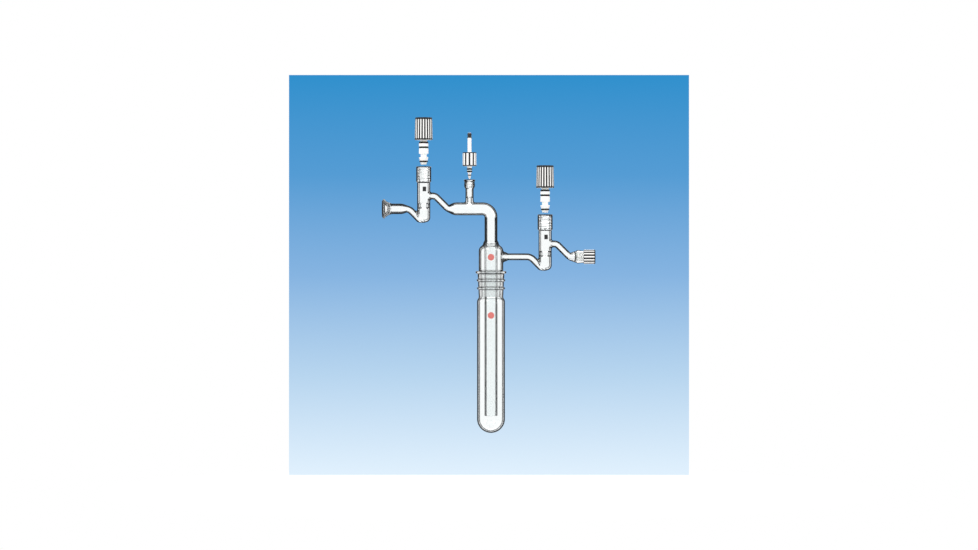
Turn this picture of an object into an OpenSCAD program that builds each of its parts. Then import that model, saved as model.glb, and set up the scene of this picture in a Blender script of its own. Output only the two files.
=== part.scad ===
// Vacuum cold trap with two screw-plug valves, a vent valve, an O-ring inlet and a screw-thread outlet.
// Millimetres, +Z up. The origin is on the trap tube's axis, at the height where a clamp or a flask lid grips it.

/* [Trap tube] */
// Outside diameter of the trap tube
trap_od = 53; // [46:1:70]
// Glass thickness of the trap tube
trap_wall = 3; // [2:0.1:4]
// Depth from the grip plane down to the outside of the round end
trap_depth = 230; // [150:5:400]
// Height from the grip plane up to the shoulder
grip_to_shoulder = 21; // [10:1:60]
// Height of the shoulder where the tube closes in to the joint
shoulder_h = 6.5; // [4:0.5:12]

/* [Ground joint] */
// Diameter of the taper at its wide end
joint_d = 45; // [34:1:55]
// Length of the taper
joint_len = 50; // [35:1:60]
// Glass thickness of the outer joint
joint_wall = 3.2; // [2.5:0.1:5]
// Glass thickness of the inner joint
inner_joint_wall = 2.4; // [2:0.1:4]
// How far the rim bead stands out from the outer joint
rim_out = 3.4; // [2:0.1:5]
// How far the two lower beads stand out from the outer joint
bead_out = 1.9; // [1:0.1:4]
// Distance between beads
bead_pitch = 15.2; // [10:0.1:22]

/* [Head] */
// Outside diameter of the head above the joint
head_od = 46.5; // [40:0.5:60]
// Glass thickness of the head
head_wall = 2.5; // [2:0.1:4]
// Straight height of the head between the joint and its dome
head_h = 38; // [30:1:60]
// Outside diameter of the gas tube that runs down the middle and across the top
tube_od = 24.5; // [16:0.5:28]
// Glass thickness of the gas tube
tube_wall = 2.2; // [1.5:0.1:3]
// Clear height between the open end of the dip tube and the trap's outside bottom
dip_clear = 32.5; // [15:0.5:80]
// Height of the side arm's centre above the ground joint
side_arm_h = 27; // [20:0.1:40]
// Height of the crossover tube's centre above the head's dome
crossover_h = 68.8; // [50:0.1:120]
// Centre line radius of the gas tube's elbow
elbow_r = 15.8; // [13:0.1:30]

/* [Valves] */
// Distance of the inlet valve's axis from the trap's axis
left_valve_x = 127.9; // [115:0.1:200]
// Distance of the outlet valve's axis from the trap's axis
right_valve_x = 102.8; // [90:0.1:200]
// Diameter of the threaded collar at the mouth
collar_od = 28.5; // [26:0.5:34]
// Length of the threaded collar
collar_len = 29; // [22:1:40]
// Outside diameter of the barrel
barrel_od = 25; // [23:0.5:30]
// Bore of the barrel
barrel_bore = 18.8; // [15:0.1:20]
// Depth of the upper arm's centre below the mouth
upper_arm_drop = 56; // [50:0.5:70]
// Depth below the mouth of the line that both arms end on
line_drop = 80.5; // [75:0.5:100]
// Bore of the valve seat
seat_bore = 13.5; // [10:0.1:15]
// Length of the valve seat
seat_len = 6; // [4:0.5:9]
// Depth of the barrel's closed end below the line of the arms
foot_drop = 25.5; // [25:0.5:40]
// Outside diameter of the valve arms
arm_od = 13; // [10:0.5:15]
// Glass thickness of the valve arms
arm_wall = 1.8; // [1.2:0.1:2.5]
// Centre line radius of the upper arm's bends
upper_bend_r = 11; // [8:0.5:16]
// Centre line radius of the lower arm's bend
lower_bend_r = 17; // [10:0.5:20]
// Distance from the valve's axis to the corner of the lower arm
lower_corner = 27.9; // [26:0.1:36]

/* [Plugs] */
// Height of the knob
knob_h = 42.5; // [38:0.5:60]
// Diameter of the knob at its lower edge
knob_od = 34; // [33.5:0.5:42]
// How much narrower the knob is at its top
knob_draft = 2; // [0:0.5:4]
// Number of ribs around the knob
knob_ribs = 20; // [12:1:24]
// Length of the piston below the knob
piston_len = 46.9; // [44:0.1:60]
// Diameter of an O-ring's cord
cord_d = 3.5; // [2:0.1:3.8]
// How far the plug stands above its mouth when it is taken out
plug_lift = 3.6; // [1:0.1:20]

/* [Vent valve] */
// Distance of the vent's axis from the trap's axis
vent_x = 40.8; // [34:0.1:60]
// Height of the vent's mouth above the centre of the crossover tube
vent_h = 55.7; // [45:0.1:80]
// Outside diameter of the vent's threaded bell
bell_od = 21; // [19:0.5:26]
// Length of the bell
bell_len = 17; // [14:0.5:24]
// Outside diameter of the vent's neck
vent_neck_od = 15.5; // [15:0.5:18]
// Bore of the vent's neck
vent_bore = 11.4; // [10:0.1:12]
// Bore of the vent's seat
vent_seat_bore = 6.4; // [5:0.1:7]
// Height of the vent's knob
vent_knob_h = 26; // [22:0.5:36]
// Diameter of the vent's knob
vent_knob_od = 26; // [25:0.5:30]
// Number of ribs around the vent's knob
vent_knob_ribs = 10; // [8:1:20]
// Length of the vent stem below its knob
vent_stem_len = 24.6; // [22:0.1:30]
// Diameter of the vent stem's hose end
hose_d = 7.4; // [6:0.1:10]
// Length of the hose end above the knob
hose_len = 37.2; // [25:0.1:60]
// How far the vent stem stands above its mouth when it is taken out
vent_lift = 1; // [0.5:0.1:20]

/* [Inlet] */
// Outside diameter of the inlet tube
inlet_od = 20; // [18:0.5:24]
// Bore of the inlet's flange
inlet_bore = 15; // [10:0.5:16]
// Length of the inlet tube between its neck and the flange
inlet_len = 21.3; // [12:0.1:60]
// Diameter of the flange
flange_d = 36.5; // [35:0.5:42]
// Thickness of the flange's rim
flange_t = 3.6; // [3.4:0.1:6]
// Length of the flange's cone behind the rim
flange_cone = 10; // [8:0.5:16]

/* [Outlet] */
// Outside diameter of the outlet's threaded tube
outlet_od = 23.6; // [22:0.1:28]
// Length of the outlet tube outside the arm's neck
outlet_len = 15.7; // [14:0.1:30]
// Diameter of the bushing's grip
bushing_od = 27.2; // [25:0.1:34]
// Length of the bushing's grip
bushing_len = 22; // [15:0.5:30]
// Number of ribs around the bushing
bushing_ribs = 14; // [10:1:24]
// Length of the bushing's threaded shank
shank_len = 12; // [9:0.5:13]
// Bore of the bushing, for a half-inch tube
bushing_bore = 13; // [10:0.1:13.4]

/* [Fits] */
// Clearance between ground faces, across the face
joint_gap = 0.05; // [0.02:0.01:0.1]
// Clearance between a stem and the bore it turns in
turn_gap = 0.05; // [0.02:0.01:0.1]
// Clearance between pieces that pass each other or come to rest on each other
free_gap = 0.3; // [0.2:0.05:0.5]
// Clearance between an O-ring and its groove
groove_gap = 0.05; // [0.02:0.01:0.1]

/* [Hidden] */
$fn = 96;

glass = [0.80, 0.90, 0.93, 0.45];
ptfe = [0.96, 0.96, 0.94];
resin = [0.92, 0.91, 0.86];
rubber = [0.06, 0.06, 0.07];

// what a cutter reaches past the face it opens
past = 1;
// a ground joint closes in by one part in ten of its length
taper = 0.1;
// a straight tube laps into the end of a bend by one of these and stands out from it by the other
lap = 0.5;
lap_out = 0.05;

// Trap tube and ground joint, from the grip plane up
trap_r = trap_od / 2;
trap_bore_r = trap_r - trap_wall;
joint_foot = grip_to_shoulder + shoulder_h;
joint_top = joint_foot + joint_len;
joint_r = joint_d / 2;
joint_foot_r = joint_r - taper * joint_len / 2;
rim_h = 5;
bead_h = 5;
rim_r = joint_r + joint_wall + rim_out;

// Head
head_r = head_od / 2;
tube_r = tube_od / 2;
tube_bore_r = tube_r - tube_wall;
head_foot = joint_top + free_gap;
dome_foot = head_foot + head_h;
dome_r = head_r - tube_r;
dome_top = dome_foot + dome_r;
side_arm_z = joint_top + side_arm_h;
crossover_z = dome_top + crossover_h;
dip_end = -trap_depth + dip_clear;

// Valves, as depths below the mouth
collar_r = collar_od / 2;
barrel_r = barrel_od / 2;
bore_r = barrel_bore / 2;
foot = line_drop + foot_drop;
foot_r = 9;
barrel_wall = barrel_r - bore_r;
arm_r = arm_od / 2;
arm_bore_r = arm_r - arm_wall;
upper_fall = line_drop - upper_arm_drop;
upper_stub = barrel_r + 4.8;
upper_straight = (upper_fall - 2 * upper_bend_r * (1 - cos(45))) / sin(45);
upper_reach = upper_stub + (2 * upper_bend_r + upper_straight) * sin(45);
lower_reach = lower_corner + lower_bend_r * tan(22.5);
lower_straight = lower_reach / cos(45) - lower_bend_r;
left_mouth_z = crossover_z + line_drop;
right_mouth_z = side_arm_z + line_drop;

// Plugs, as depths below the knob's lower edge
cord_r = cord_d / 2;
piston_r = bore_r - free_gap - 0.1;
oring_r = bore_r - free_gap;
groove_r = oring_r - cord_d - groove_gap;
groove_h = cord_d + 2 * groove_gap;
top_ring = 5.1;
middle_ring = 14.3;
land_end = 26.2;
waist_end = 33.4;
waist_r = 5.75;
tip_r = 5.15;
tip_ring = 40.9;
tip_cord_r = 1.5;
knob_r = knob_od / 2;
skirt_r = collar_r + free_gap + 0.05;
skirt_depth = collar_len + 0.1;
spindle_r = 4.5;
clip_r = 6;
clip_t = 1.5;
shank_r = bore_r - free_gap;
seated_edge = collar_len - 0.5;
plug_z = piston_len + plug_lift;
cone_slope = (piston_r - tip_r) / (piston_len - waist_end);
// the cone's radius at a depth below the knob
function cone_r(depth) = piston_r - (depth - waist_end) * cone_slope;
tip_ring_r = cone_r(tip_ring) - 0.1;
seat_r = seat_bore / 2;
// the seat's cone stands clear of the tip O-ring by the free gap when the plug is home
seat_sum = tip_ring_r + seated_edge + tip_ring + (tip_cord_r + free_gap) * sqrt(2);
seat_top = seat_sum - bore_r;
seat_edge = seat_sum - seat_r;

// Vent
vent_mouth_z = crossover_z + vent_h;
bell_r = bell_od / 2;
vent_bore_r = vent_bore / 2;
vent_cord_r = 1.6;
vent_oring_r = vent_bore_r - free_gap;
vent_groove_r = vent_oring_r - 2 * vent_cord_r - groove_gap;
vent_body_r = 4.35;
vent_top_ring = 5.7;
vent_middle_ring = 10.3;
vent_land_end = 12.4;
vent_waist_end = 15.2;
vent_waist_r = 2.7;
vent_tip_ring = 17.2;
vent_tip_cord_r = 1;
vent_nose_r = 3;
vent_nose_start = 18;
gas_hole_r = 0.7;
vent_tip_r = 1.3;
vent_tip_ring_r = 2.9;
vent_knob_r = vent_knob_od / 2;
vent_skirt_r = bell_r + free_gap + 0.05;
vent_skirt_depth = bell_len + 0.1;
vent_seated_edge = bell_len - 0.3;
vent_shank_r = vent_bore_r - free_gap;
vent_spindle_r = 3.4;
vent_clip_r = 4.6;
vent_clip_t = 1.2;
vent_z = vent_stem_len + vent_lift;
hose_r = hose_d / 2;
hose_bore_r = 1.2;
barb_out = 0.9;
barb_h = 4.2;
vent_seat_r = vent_seat_bore / 2;
vent_seat_sum = vent_tip_ring_r + vent_seated_edge + vent_tip_ring + (vent_tip_cord_r + free_gap) * sqrt(2);
vent_seat_top = vent_seat_sum - vent_bore_r;
vent_seat_edge = vent_seat_sum - vent_seat_r;

// Inlet, as distances to the left of the valve's axis
inlet_r = inlet_od / 2;
inlet_neck = 7.4;
inlet_start = lower_reach + inlet_neck;
flange_back = inlet_start + inlet_len;
flange_rim = flange_back + flange_cone;
flange_face = flange_rim + flange_t;
flange_r = flange_d / 2;
inlet_bore_r = inlet_bore / 2;
flange_cone_r = flange_r - 2.2;
inlet_ring_cord_r = 1.75;
inlet_ring_r = 14.7;
inlet_groove_depth = 1.6;

// Outlet, as distances to the right of the valve's axis
outlet_r = outlet_od / 2;
outlet_flare = 6.6;
outlet_mouth = upper_reach + outlet_flare + outlet_len;
outlet_socket_r = outlet_r - 3;
outlet_shank_r = outlet_socket_r - free_gap;
bushing_r = bushing_od / 2;
bushing_bore_r = bushing_bore / 2;
washer_t = 1.2;
outlet_cord_r = 1.15;
outlet_ring_r = outlet_socket_r - groove_gap - outlet_cord_r;
seal_gap = 0.1;
washer_at = shank_len + seal_gap;
outlet_ring_at = washer_at + washer_t + seal_gap + outlet_cord_r;
socket_depth = outlet_ring_at + outlet_cord_r + seal_gap;

// ---------- shapes that are used again ----------

// a solid of revolution about Z from a profile of [radius, height] points
module turned(points) {
    rotate_extrude() polygon(points);
}

// a torus lying flat, such as an O-ring or a bead
module ring(mean_r, cord_r) {
    rotate_extrude() translate([mean_r, 0]) circle(r = cord_r);
}

// a bent rod in the XZ plane, starting at an angle above +X and turning by an angle
module bent_rod(bend_r, rod_r, from, by) {
    rotate([90, 0, 0]) rotate([0, 0, from]) rotate_extrude(angle = by) translate([bend_r, 0]) circle(r = rod_r);
}

// a rod that heads along +X and bends by 45 degrees, down for turn = 1 and up for turn = -1;
// what follows it is placed at its end and along its new heading
module bend(bend_r, rod_r, turn) {
    translate([0, 0, -turn * bend_r]) {
        bent_rod(bend_r, rod_r, turn > 0 ? 45 : 270, 45);
        rotate([0, 45 * turn, 0]) translate([0, 0, turn * bend_r]) children();
    }
}

// a rod along +X
module rod_x(r, length) {
    rotate([0, 90, 0]) cylinder(r = r, h = length);
}

// a cone along +X
module cone_x(r1, r2, length) {
    rotate([0, 90, 0]) cylinder(r1 = r1, r2 = r2, h = length);
}

// the upper arm as a solid rod, from the valve's axis to the line, where its children carry on
module upper_rod(r) {
    translate([0, 0, -upper_arm_drop]) {
        rod_x(r + lap_out, upper_stub + lap);
        translate([upper_stub, 0, 0]) bend(upper_bend_r, r, 1) {
            rod_x(r, upper_straight);
            translate([upper_straight, 0, 0]) bend(upper_bend_r, r, -1) children();
        }
    }
}

// the lower arm as a solid rod down to the valve's axis; its children sit where it leaves the line
module lower_rod(r) {
    translate([-lower_reach, 0, -line_drop]) {
        bend(lower_bend_r, r, 1) rod_x(r, lower_straight);
        children();
    }
}

// the closed end of the barrel as a solid: round below, with the lower arm's heel carried in to the axis
module barrel_end(r, r_arm, end_r, depth) {
    height = depth - seat_edge - seat_len;
    translate([0, 0, -depth]) rotate_extrude() {
        translate([0, end_r]) square([r, height - end_r]);
        square([r - end_r, end_r + past]);
        intersection() {
            translate([r - end_r, end_r]) circle(r = end_r);
            square([r, end_r + past]);
        }
    }
    intersection() {
        lower_rod(r_arm);
        translate([0, 0, -depth]) cylinder(r = r, h = height);
    }
}

// glass of one valve, with its mouth at z = 0
module valve_glass() {
    difference() {
        union() {
            translate([0, 0, -collar_len]) cylinder(r = collar_r, h = collar_len);
            translate([0, 0, -seat_edge - seat_len]) cylinder(r = barrel_r, h = seat_edge + seat_len - collar_len);
            barrel_end(barrel_r, arm_r, foot_r, foot);
        }
        translate([0, 0, -seat_top]) cylinder(r = bore_r, h = seat_top + past);
        translate([0, 0, -seat_edge]) cylinder(r1 = seat_r, r2 = bore_r, h = seat_edge - seat_top);
        translate([0, 0, -seat_edge - seat_len - past]) cylinder(r = seat_r, h = seat_len + 2 * past);
        barrel_end(bore_r, arm_bore_r, foot_r - barrel_wall, foot - barrel_wall);
        upper_rod(arm_bore_r);
        lower_rod(arm_bore_r);
    }
}

// what an arm leaves to the barrel that it joins
module barrel_space() {
    translate([0, 0, -2 * foot]) cylinder(r = barrel_r, h = 2 * foot + past);
}

// piston of a valve, with the knob's lower edge at z = 0
module piston_shape() {
    difference() {
        turned([
            [0, skirt_depth + 4], [spindle_r, skirt_depth + 4], [spindle_r, -0.6],
            [6.75, -0.6], [6.75, groove_h / 2 - top_ring], [groove_r, groove_h / 2 - top_ring],
            [groove_r, -groove_h / 2 - top_ring], [piston_r, -groove_h / 2 - top_ring],
            [piston_r, groove_h / 2 - middle_ring], [groove_r, groove_h / 2 - middle_ring],
            [groove_r, -groove_h / 2 - middle_ring], [piston_r, -groove_h / 2 - middle_ring],
            [piston_r, -land_end], [waist_r, -land_end - 1], [waist_r, 1 - waist_end], [piston_r, -waist_end],
            [tip_r, -piston_len], [0, -piston_len]
        ]);
        translate([0, 0, -tip_ring]) ring(tip_ring_r, tip_cord_r + groove_gap);
        translate([0, 0, skirt_depth - clip_t / 2]) difference() {
            cylinder(r = spindle_r + past, h = clip_t + 2 * groove_gap, center = true);
            cylinder(r = spindle_r - 1, h = clip_t + 2 * past, center = true);
        }
    }
}

// split ring that keeps a stem in its knob
module clip_shape(inner_r, outer_r, thick) {
    difference() {
        cylinder(r = outer_r, h = thick, center = true);
        cylinder(r = inner_r, h = thick + 2 * past, center = true);
        translate([0, -inner_r / 2, -thick]) cube([outer_r + past, inner_r, 2 * thick]);
    }
}

// grooves between the ribs of a grip, along Z and leaning with its draft; the front shows a rib or a groove
module grip_grooves(count, top_r, foot_r, height, groove_r, deep, rib_in_front = true) {
    lean = atan((foot_r - top_r) / height);
    for (i = [0 : count - 1])
        rotate([0, 0, 270 + (i + (rib_in_front ? 0.5 : 0)) * 360 / count])
            translate([foot_r + groove_r - deep, 0, -past])
                rotate([0, -lean, 0]) cylinder(r = groove_r, h = height + 3 * past);
}

// knob of a valve: ribbed cap, skirt and threaded shank in one
module knob_shape() {
    top_r = knob_r - knob_draft / 2;
    difference() {
        cylinder(r1 = knob_r, r2 = top_r, h = knob_h);
        difference() {
            translate([0, 0, -past]) cylinder(r = skirt_r, h = skirt_depth + past);
            translate([0, 0, -2 * past]) cylinder(r = shank_r, h = skirt_depth + 4 * past);
        }
        translate([0, 0, -past]) cylinder(r = spindle_r + turn_gap, h = skirt_depth + past + 4 + free_gap);
        translate([0, 0, skirt_depth - clip_t / 2])
            cylinder(r = clip_r + free_gap, h = clip_t + 2 * free_gap, center = true);
        grip_grooves(knob_ribs, top_r, knob_r, knob_h, 1.6, 1.3);
    }
}

// stem of the vent valve with its hose end, with its knob's lower edge at z = 0
module vent_stem_shape() {
    hose_top = vent_knob_h + hose_len;
    gas_hole_z = -(vent_land_end + vent_waist_end) / 2;
    difference() {
        union() {
            turned([
                [0, vent_knob_h + 2], [vent_spindle_r, vent_knob_h + 2], [vent_spindle_r, -0.4],
                [vent_body_r, -0.4], [vent_body_r, 0.1 - vent_top_ring + vent_cord_r],
                [vent_groove_r, 0.1 - vent_top_ring + vent_cord_r],
                [vent_groove_r, -0.1 - vent_top_ring - vent_cord_r],
                [vent_body_r, -0.1 - vent_top_ring - vent_cord_r],
                [vent_body_r, 0.1 - vent_middle_ring + vent_cord_r],
                [vent_groove_r, 0.1 - vent_middle_ring + vent_cord_r],
                [vent_groove_r, -0.1 - vent_middle_ring - vent_cord_r],
                [vent_body_r, -0.1 - vent_middle_ring - vent_cord_r],
                [vent_body_r, -vent_land_end], [vent_waist_r, -vent_land_end - 0.6],
                [vent_waist_r, 0.4 - vent_waist_end], [vent_nose_r, -vent_waist_end],
                [vent_nose_r, -vent_nose_start], [vent_tip_r, -vent_stem_len], [0, -vent_stem_len]
            ]);
            translate([0, 0, vent_knob_h + free_gap]) cylinder(r = hose_r, h = hose_len - barb_h);
            for (z = [hose_top - 9.5, hose_top - barb_h])
                translate([0, 0, z]) cylinder(r1 = hose_r + barb_out, r2 = hose_r - 0.8, h = barb_h);
        }
        translate([0, 0, -vent_tip_ring]) ring(vent_tip_ring_r, vent_tip_cord_r + groove_gap);
        translate([0, 0, gas_hole_z]) cylinder(r = hose_bore_r, h = hose_top - gas_hole_z + past);
        translate([0, 0, gas_hole_z]) rotate([90, 0, 0])
            cylinder(r = gas_hole_r, h = 4 * vent_body_r, center = true);
        translate([0, 0, vent_skirt_depth - vent_clip_t / 2]) difference() {
            cylinder(r = vent_spindle_r + past, h = vent_clip_t + 2 * groove_gap, center = true);
            cylinder(r = vent_spindle_r - 0.8, h = vent_clip_t + 2 * past, center = true);
        }
    }
}

// knob of the vent valve
module vent_knob_shape() {
    difference() {
        cylinder(r = vent_knob_r, h = vent_knob_h);
        difference() {
            translate([0, 0, -past]) cylinder(r = vent_skirt_r, h = vent_skirt_depth + past);
            translate([0, 0, -2 * past]) cylinder(r = vent_shank_r, h = vent_skirt_depth + 4 * past);
        }
        translate([0, 0, -past]) cylinder(r = vent_spindle_r + turn_gap, h = vent_knob_h + 2 * past);
        translate([0, 0, vent_skirt_depth - vent_clip_t / 2])
            cylinder(r = vent_clip_r + free_gap, h = vent_clip_t + 2 * free_gap, center = true);
        grip_grooves(vent_knob_ribs, vent_knob_r, vent_knob_r, vent_knob_h, 2, 1.3, false);
    }
}

// ---------- places ----------

module at_left_valve() {
    translate([-left_valve_x, 0, left_mouth_z]) children();
}

module at_right_valve() {
    translate([right_valve_x, 0, right_mouth_z]) children();
}

module at_left_plug() {
    at_left_valve() translate([0, 0, plug_z]) children();
}

module at_right_plug() {
    at_right_valve() translate([0, 0, plug_z]) children();
}

module at_vent() {
    translate([-vent_x, 0, vent_mouth_z]) children();
}

module at_vent_plug() {
    at_vent() translate([0, 0, vent_z]) children();
}

module at_outlet() {
    at_right_valve() translate([outlet_mouth, 0, -line_drop]) children();
}

// ---------- sub-parts ----------

module trap_tube() {
    round_z = trap_r - trap_depth;
    color(glass) difference() {
        union() {
            translate([0, 0, round_z]) sphere(r = trap_r);
            translate([0, 0, round_z]) cylinder(r = trap_r, h = grip_to_shoulder - round_z);
            translate([0, 0, grip_to_shoulder])
                cylinder(r1 = trap_r, r2 = joint_foot_r + joint_wall, h = shoulder_h);
            translate([0, 0, joint_foot])
                cylinder(r1 = joint_foot_r + joint_wall, r2 = joint_r + joint_wall, h = joint_len);
            translate([0, 0, joint_top - rim_h]) cylinder(r = rim_r, h = rim_h);
            for (i = [1, 2])
                translate([0, 0, joint_top - rim_h / 2 - i * bead_pitch])
                    cylinder(r = joint_r + joint_wall + bead_out - 0.5 * i, h = bead_h, center = true);
        }
        translate([0, 0, round_z]) sphere(r = trap_bore_r);
        translate([0, 0, round_z]) cylinder(r = trap_bore_r, h = grip_to_shoulder - round_z);
        translate([0, 0, grip_to_shoulder]) cylinder(r1 = trap_bore_r, r2 = joint_foot_r, h = shoulder_h);
        translate([0, 0, joint_foot]) cylinder(r1 = joint_foot_r, r2 = joint_r, h = joint_len);
        translate([0, 0, joint_top]) cylinder(r = joint_r, h = past);
    }
}

module joint_head() {
    foot_z = joint_foot + free_gap;
    foot_big_r = joint_foot_r + taper * free_gap / 2 - joint_gap;
    dome_bore_r = dome_r - head_wall;
    color(glass) difference() {
        union() {
            translate([0, 0, foot_z])
                cylinder(r1 = foot_big_r, r2 = joint_r - joint_gap, h = joint_top - foot_z);
            translate([0, 0, joint_top - past]) cylinder(r = joint_r - joint_gap, h = head_foot - joint_top + past);
            translate([0, 0, head_foot]) cylinder(r = head_r, h = head_h);
            translate([0, 0, dome_foot]) ring(tube_r, dome_r);
            translate([0, 0, dome_foot]) cylinder(r = tube_r, h = dome_r);
        }
        translate([0, 0, foot_z - past])
            cylinder(r1 = foot_big_r - inner_joint_wall, r2 = joint_r - inner_joint_wall, h = joint_top - foot_z + past);
        translate([0, 0, joint_top - past]) cylinder(r = joint_r - inner_joint_wall, h = 2 * past);
        translate([0, 0, joint_top + past])
            cylinder(r = head_r - head_wall, h = dome_foot - joint_top - past);
        translate([0, 0, dome_foot]) ring(tube_r, dome_bore_r);
        translate([0, 0, foot_z - past]) cylinder(r = tube_r, h = dome_top - foot_z + 2 * past);
        translate([0, 0, side_arm_z]) rod_x(arm_bore_r + lap_out, head_r + past);
    }
}

module dip_tube() {
    color(glass) translate([0, 0, dip_end]) difference() {
        cylinder(r = tube_r, h = dome_top - dip_end);
        translate([0, 0, -past]) cylinder(r = tube_bore_r, h = dome_top - dip_end + 2 * past);
    }
}

module riser_elbow() {
    rise = crossover_z - elbow_r - dome_top;
    color(glass) difference() {
        union() {
            translate([0, 0, dome_top]) cylinder(r = tube_r, h = rise);
            translate([-elbow_r, 0, dome_top + rise]) bent_rod(elbow_r, tube_r, 0, 90);
        }
        translate([0, 0, dome_top - past]) cylinder(r = tube_bore_r, h = rise + past);
        translate([-elbow_r, 0, dome_top + rise]) bent_rod(elbow_r, tube_bore_r, 0, 90);
    }
}

module crossover_tube() {
    neck_x = upper_reach - left_valve_x;
    flare = 9;
    length = -elbow_r - neck_x - flare;
    color(glass) translate([neck_x, 0, crossover_z]) difference() {
        union() {
            cone_x(arm_r, tube_r, flare);
            translate([flare, 0, 0]) rod_x(tube_r, length);
        }
        cone_x(arm_bore_r, tube_bore_r, flare);
        translate([flare, 0, 0]) rod_x(tube_bore_r, length + past);
        translate([-past, 0, 0]) rod_x(arm_bore_r, 2 * past);
        translate([-vent_x - neck_x, 0, 0]) cylinder(r = vent_seat_r, h = tube_r + past);
    }
}

module vent_port() {
    neck_r = vent_neck_od / 2;
    color(glass) difference() {
        at_vent() {
            translate([0, 0, -bell_len]) cylinder(r = bell_r, h = bell_len);
            translate([0, 0, -vent_h]) cylinder(r = neck_r, h = vent_h - bell_len);
        }
        at_vent() {
            translate([0, 0, -vent_seat_top]) cylinder(r = vent_bore_r, h = vent_seat_top + past);
            translate([0, 0, -vent_seat_edge])
                cylinder(r1 = vent_seat_r, r2 = vent_bore_r, h = vent_seat_edge - vent_seat_top);
            translate([0, 0, -vent_h]) cylinder(r = vent_seat_r, h = vent_h - vent_seat_edge + past);
        }
        translate([-vent_x - 2 * neck_r, 0, crossover_z]) rod_x(tube_r, 4 * neck_r);
    }
}

module inlet_arm() {
    ring_x = inlet_groove_depth - inlet_ring_cord_r - flange_face;
    length = flange_face - lower_reach;
    color(glass) at_left_valve() difference() {
        lower_rod(arm_r) {
            rod_x(arm_r + lap_out, lap);
            translate([-inlet_neck, 0, 0]) cone_x(inlet_r, arm_r + lap_out, inlet_neck);
            translate([-inlet_neck - inlet_len, 0, 0]) rod_x(inlet_r, inlet_len);
            translate([flange_t - length, 0, 0]) cone_x(flange_cone_r, inlet_r, flange_cone);
            translate([-length, 0, 0]) rod_x(flange_r, flange_t);
        }
        lower_rod(arm_bore_r) {
            rod_x(arm_bore_r + lap_out, lap);
            translate([-inlet_neck, 0, 0]) cone_x(inlet_bore_r, arm_bore_r + lap_out, inlet_neck);
            translate([-length - past, 0, 0]) rod_x(inlet_bore_r, length - inlet_neck + past);
        }
        barrel_space();
        translate([ring_x, 0, -line_drop]) rotate([0, 90, 0]) ring(inlet_ring_r, inlet_ring_cord_r + groove_gap);
    }
}

module inlet_oring() {
    ring_x = inlet_groove_depth - inlet_ring_cord_r - flange_face;
    color(rubber) at_left_valve() translate([ring_x, 0, -line_drop])
        rotate([0, 90, 0]) ring(inlet_ring_r, inlet_ring_cord_r);
}

module left_valve_body() {
    color(glass) at_left_valve() valve_glass();
}

module left_upper_arm() {
    color(glass) at_left_valve() difference() {
        upper_rod(arm_r);
        upper_rod(arm_bore_r);
        barrel_space();
    }
}

module side_arm() {
    length = right_valve_x - lower_reach;
    color(glass) difference() {
        at_right_valve() lower_rod(arm_r)
            translate([-length, 0, 0]) rod_x(arm_r + lap_out, length + lap);
        at_right_valve() lower_rod(arm_bore_r)
            translate([-length, 0, 0]) rod_x(arm_bore_r + lap_out, length + lap);
        at_right_valve() barrel_space();
        cylinder(r = head_r, h = 2 * side_arm_z);
    }
}

module right_valve_body() {
    color(glass) at_right_valve() valve_glass();
}

module outlet_arm() {
    color(glass) at_right_valve() difference() {
        upper_rod(arm_r) {
            translate([-lap, 0, 0]) rod_x(arm_r + lap_out, lap);
            cone_x(arm_r + lap_out, outlet_r, outlet_flare);
            translate([outlet_flare, 0, 0]) rod_x(outlet_r, outlet_len);
        }
        upper_rod(arm_bore_r) {
            translate([-lap, 0, 0]) rod_x(arm_bore_r + lap_out, lap + outlet_flare + outlet_len);
            translate([outlet_flare + outlet_len - socket_depth, 0, 0]) rod_x(outlet_socket_r, socket_depth + past);
        }
        barrel_space();
    }
}

module left_piston() {
    color(ptfe) at_left_plug() piston_shape();
}

module left_top_oring() {
    color(rubber) at_left_plug() translate([0, 0, -top_ring]) ring(oring_r - cord_r, cord_r);
}

module left_middle_oring() {
    color(rubber) at_left_plug() translate([0, 0, -middle_ring]) ring(oring_r - cord_r, cord_r);
}

module left_tip_oring() {
    color(rubber) at_left_plug() translate([0, 0, -tip_ring]) ring(tip_ring_r, tip_cord_r);
}

module left_clip() {
    color(ptfe) at_left_plug() translate([0, 0, skirt_depth - clip_t / 2])
        clip_shape(spindle_r - 1 + groove_gap, clip_r, clip_t);
}

module left_knob() {
    color(resin) at_left_plug() knob_shape();
}

module right_piston() {
    color(ptfe) at_right_plug() piston_shape();
}

module right_top_oring() {
    color(rubber) at_right_plug() translate([0, 0, -top_ring]) ring(oring_r - cord_r, cord_r);
}

module right_middle_oring() {
    color(rubber) at_right_plug() translate([0, 0, -middle_ring]) ring(oring_r - cord_r, cord_r);
}

module right_tip_oring() {
    color(rubber) at_right_plug() translate([0, 0, -tip_ring]) ring(tip_ring_r, tip_cord_r);
}

module right_clip() {
    color(ptfe) at_right_plug() translate([0, 0, skirt_depth - clip_t / 2])
        clip_shape(spindle_r - 1 + groove_gap, clip_r, clip_t);
}

module right_knob() {
    color(resin) at_right_plug() knob_shape();
}

module vent_stem() {
    color(ptfe) at_vent_plug() vent_stem_shape();
}

module vent_top_oring() {
    color(rubber) at_vent_plug() translate([0, 0, -vent_top_ring]) ring(vent_oring_r - vent_cord_r, vent_cord_r);
}

module vent_middle_oring() {
    color(rubber) at_vent_plug() translate([0, 0, -vent_middle_ring]) ring(vent_oring_r - vent_cord_r, vent_cord_r);
}

module vent_tip_oring() {
    color(rubber) at_vent_plug() translate([0, 0, -vent_tip_ring]) ring(vent_tip_ring_r, vent_tip_cord_r);
}

module vent_clip() {
    color(ptfe) at_vent_plug() translate([0, 0, vent_skirt_depth - vent_clip_t / 2])
        clip_shape(vent_spindle_r - 0.8 + groove_gap, vent_clip_r, vent_clip_t);
}

module vent_knob() {
    color(resin) at_vent_plug() vent_knob_shape();
}

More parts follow.
